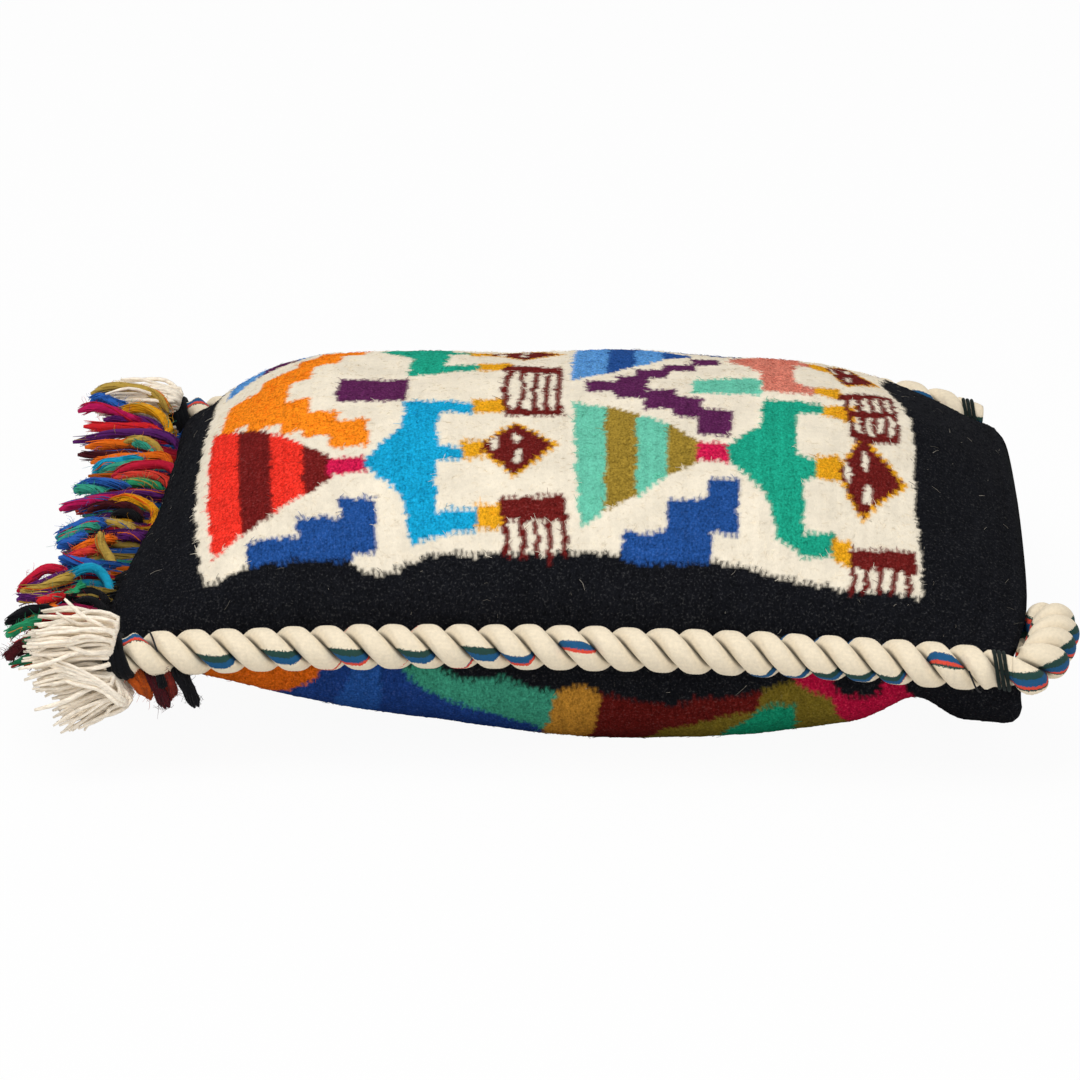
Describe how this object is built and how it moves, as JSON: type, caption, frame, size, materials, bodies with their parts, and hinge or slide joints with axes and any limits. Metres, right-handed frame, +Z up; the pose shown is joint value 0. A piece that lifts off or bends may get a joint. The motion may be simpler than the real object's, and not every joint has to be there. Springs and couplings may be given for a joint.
{
  "type": "shoulder bag",
  "caption": "Woven wool shoulder bag, filled out and lying on its back, with rope side seams, a rope strap tucked into the open mouth and a yarn fringe along the bottom seam.",
  "frame": {"origin": "centre of the bag's outer box, on the surface it lies on", "axes": "+X from the bottom seam to the open mouth, +Y across the bag to its left edge, +Z up through the front panel"},
  "size_m": [0.4123, 0.3008, 0.1111],
  "materials": {
    "front_cloth": "patterned wool tapestry weave, white ground with a black border",
    "back_cloth": "wool tapestry weave in fields of colour with a black border",
    "cream_rope": "two-ply twisted wool rope",
    "black_yarn": "matt wool yarn",
    "tassel_string": "loose cotton string",
    "fringe_yarn": "mixed wool yarns of many colours"
  },
  "bodies": {
    "root": {"front_panel": "front_cloth", "back_panel": "back_cloth", "right_edge_rope": "cream_rope", "left_edge_rope": "cream_rope", "right_bottom_whipping": "black_yarn", "left_bottom_whipping": "black_yarn", "right_mouth_whipping": "black_yarn", "left_mouth_whipping": "black_yarn", "right_rope_tassel": "tassel_string", "left_rope_tassel": "tassel_string", "fringe_tuft_01": "fringe_yarn", "fringe_tuft_02": "fringe_yarn", "fringe_tuft_03": "fringe_yarn", "fringe_tuft_04": "fringe_yarn", "fringe_tuft_05": "fringe_yarn", "fringe_tuft_06": "fringe_yarn", "fringe_tuft_07": "fringe_yarn", "fringe_tuft_08": "fringe_yarn", "fringe_tuft_09": "fringe_yarn", "fringe_tuft_10": "fringe_yarn", "fringe_tuft_11": "fringe_yarn", "fringe_tuft_12": "fringe_yarn", "fringe_tuft_13": "fringe_yarn", "fringe_tuft_14": "fringe_yarn", "fringe_tuft_15": "fringe_yarn", "fringe_tuft_16": "fringe_yarn", "fringe_tuft_17": "fringe_yarn", "fringe_tuft_18": "fringe_yarn", "shoulder_strap": "cream_rope"}
  },
  "joints": []
}
